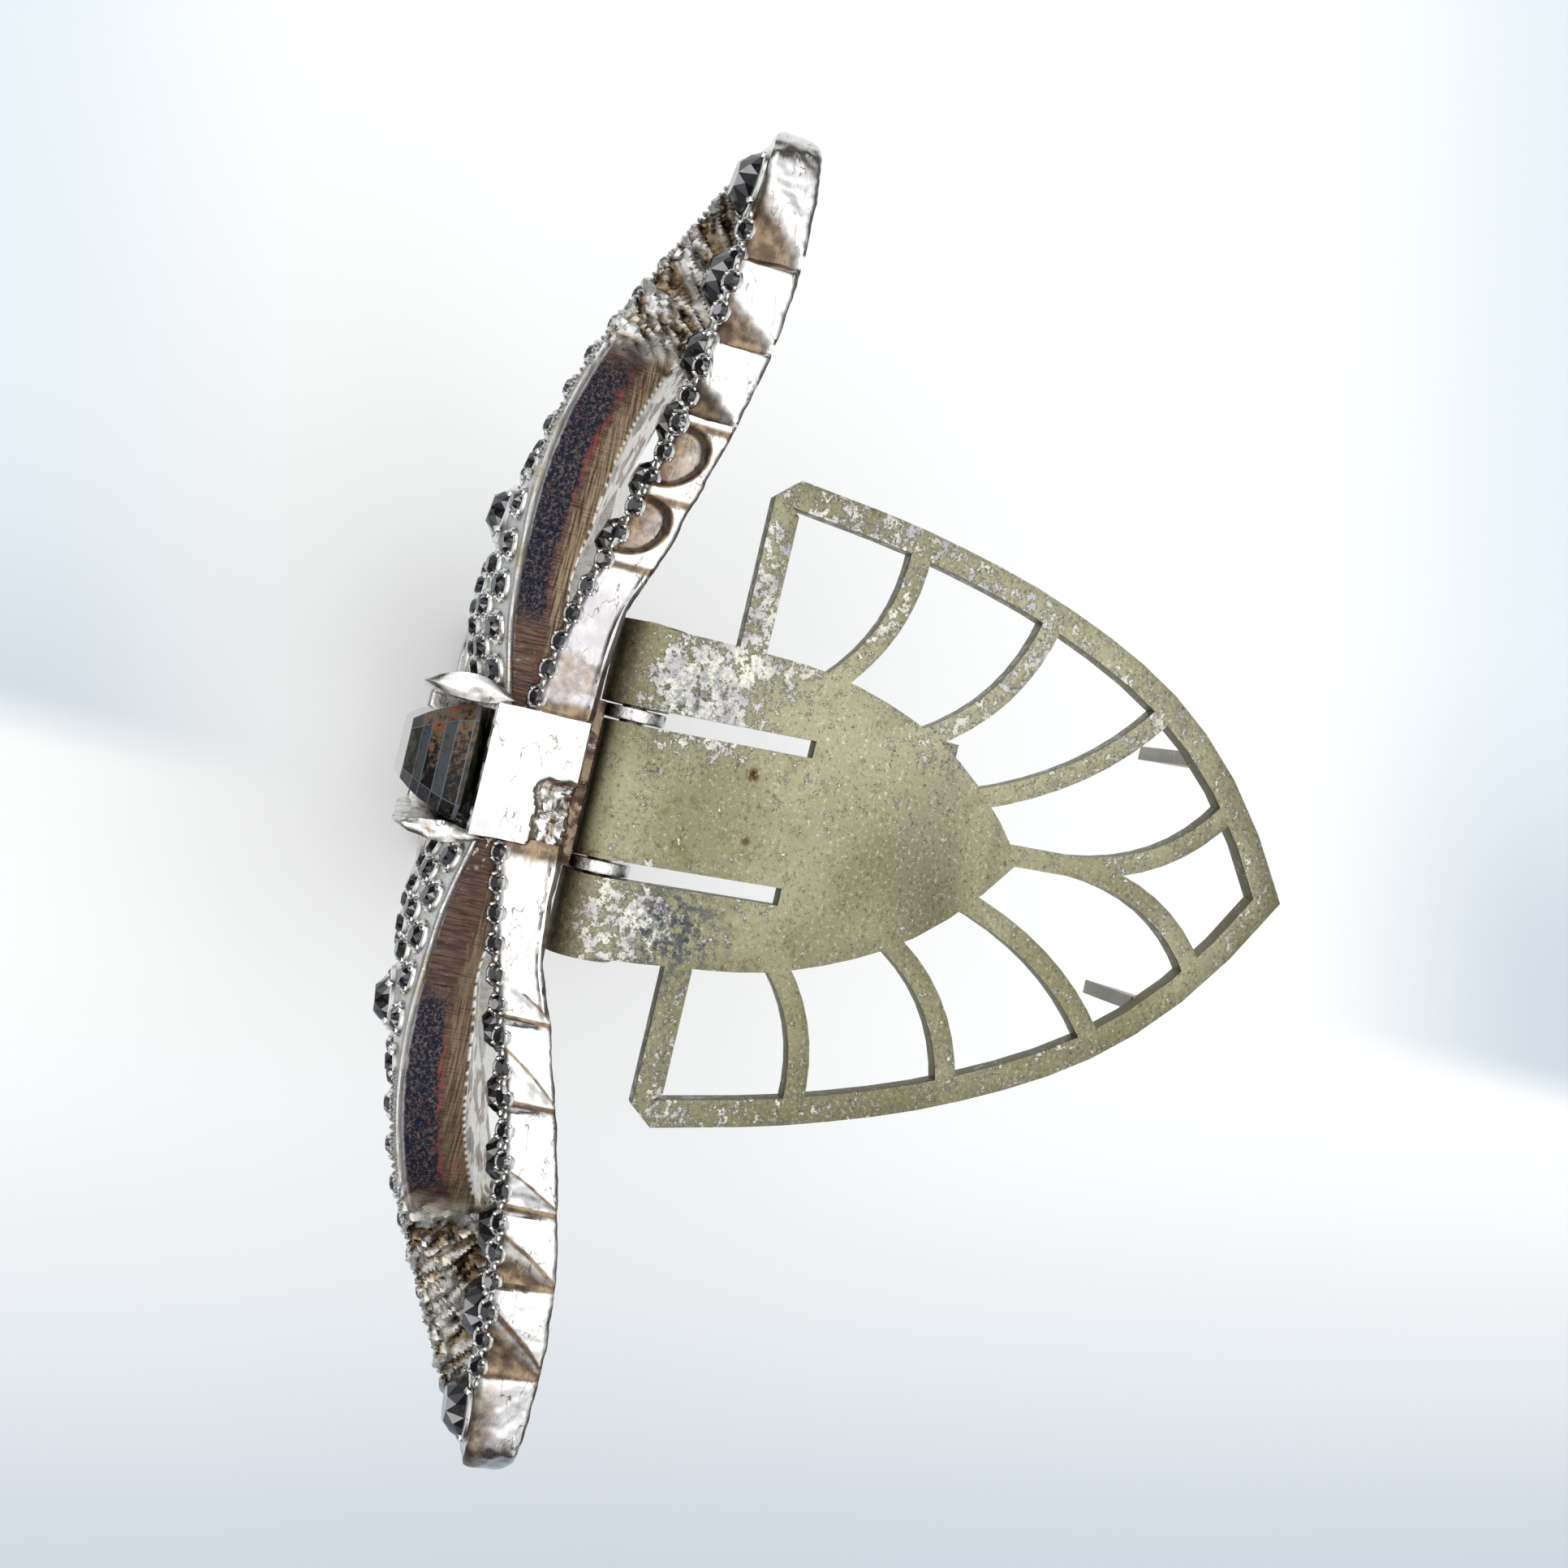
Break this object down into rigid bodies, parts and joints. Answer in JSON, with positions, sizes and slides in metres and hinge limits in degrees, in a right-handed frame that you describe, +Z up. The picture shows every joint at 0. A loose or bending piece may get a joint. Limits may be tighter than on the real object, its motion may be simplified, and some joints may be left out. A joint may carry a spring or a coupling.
{
  "type": "dress clip",
  "caption": "Dress clip with a step-cut smoky centre stone, two pave wings with scalloped borders, and a pierced shield-shaped flap with teeth, standing open.",
  "frame": {"origin": "middle of the foot's flat underside", "axes": "+X across the wings, +Z up as it stands, the stones face -Y and the open flap points along +Y"},
  "size_m": [0.0528, 0.0375, 0.0403],
  "materials": {
    "cast_metal": "bright plated, aged in the recesses",
    "smoke_stone": "step cut, dark foil behind",
    "dark_stone": "faceted",
    "pave_stone": "faceted",
    "flap_sheet": "fine tarnish, worn to silver in places",
    "pin_steel": "dull"
  },
  "bodies": {
    "clip": {"frame": "cast_metal", "centre_stone": "smoke_stone", "dome_stone_left": "dark_stone", "dome_stone_right": "dark_stone", "border_stone_left_1": "dark_stone", "border_stone_left_2": "dark_stone", "border_stone_left_3": "dark_stone", "border_stone_left_4": "dark_stone", "border_stone_left_5": "dark_stone", "border_stone_left_6": "dark_stone", "border_stone_right_1": "dark_stone", "border_stone_right_2": "dark_stone", "border_stone_right_3": "dark_stone", "border_stone_right_4": "dark_stone", "border_stone_right_5": "dark_stone", "border_stone_right_6": "dark_stone", "pave_wing_left": "pave_stone", "pave_wing_right": "pave_stone", "pave_lower_left": "pave_stone", "pave_lower_right": "pave_stone", "pave_keel": "pave_stone", "hinge_pin": "pin_steel"},
    "flap": {"flap": "flap_sheet"}
  },
  "joints": [
    {"name": "flap_hinge", "type": "hinge", "parent": "clip", "child": "flap", "pos_m": [0, 0.00115, 0.03665], "axis": [1, 0, 0], "range_deg": [-87, 0]}
  ]
}
